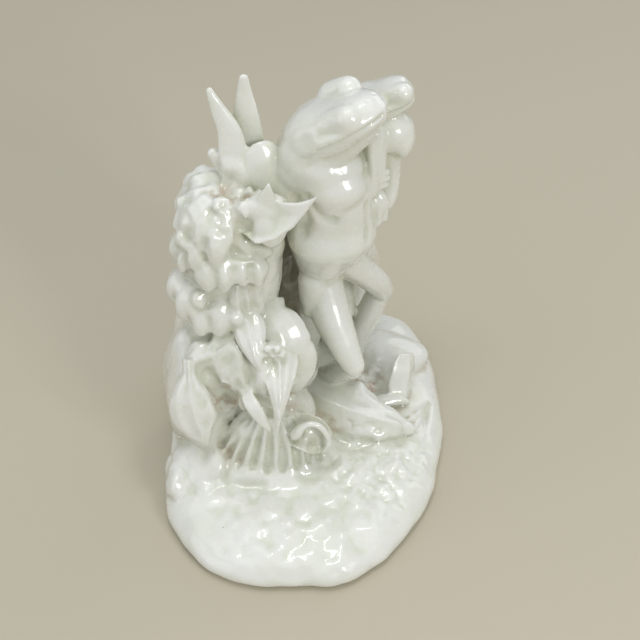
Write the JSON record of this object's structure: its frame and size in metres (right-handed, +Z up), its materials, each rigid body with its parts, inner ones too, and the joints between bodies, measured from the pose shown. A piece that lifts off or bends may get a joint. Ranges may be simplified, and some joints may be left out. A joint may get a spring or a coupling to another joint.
{
  "type": "porcelain frog group figurine",
  "caption": "White glazed porcelain group: frogs standing close together beside a leaf-grown rock column on an oval mound, resting on a flat underside.",
  "frame": {"origin": "the middle of the mound's flat underside, where it meets the table", "axes": "+Z up, -Y towards the mound's narrow front end, -X towards the rock column, +X towards the frogs' side"},
  "size_m": [0.1077, 0.1402, 0.159],
  "materials": {
    "white_glaze": "glossy white glaze, faintly green-grey in the hollows"
  },
  "bodies": {
    "root": {"figure_group": "white_glaze"}
  },
  "joints": []
}
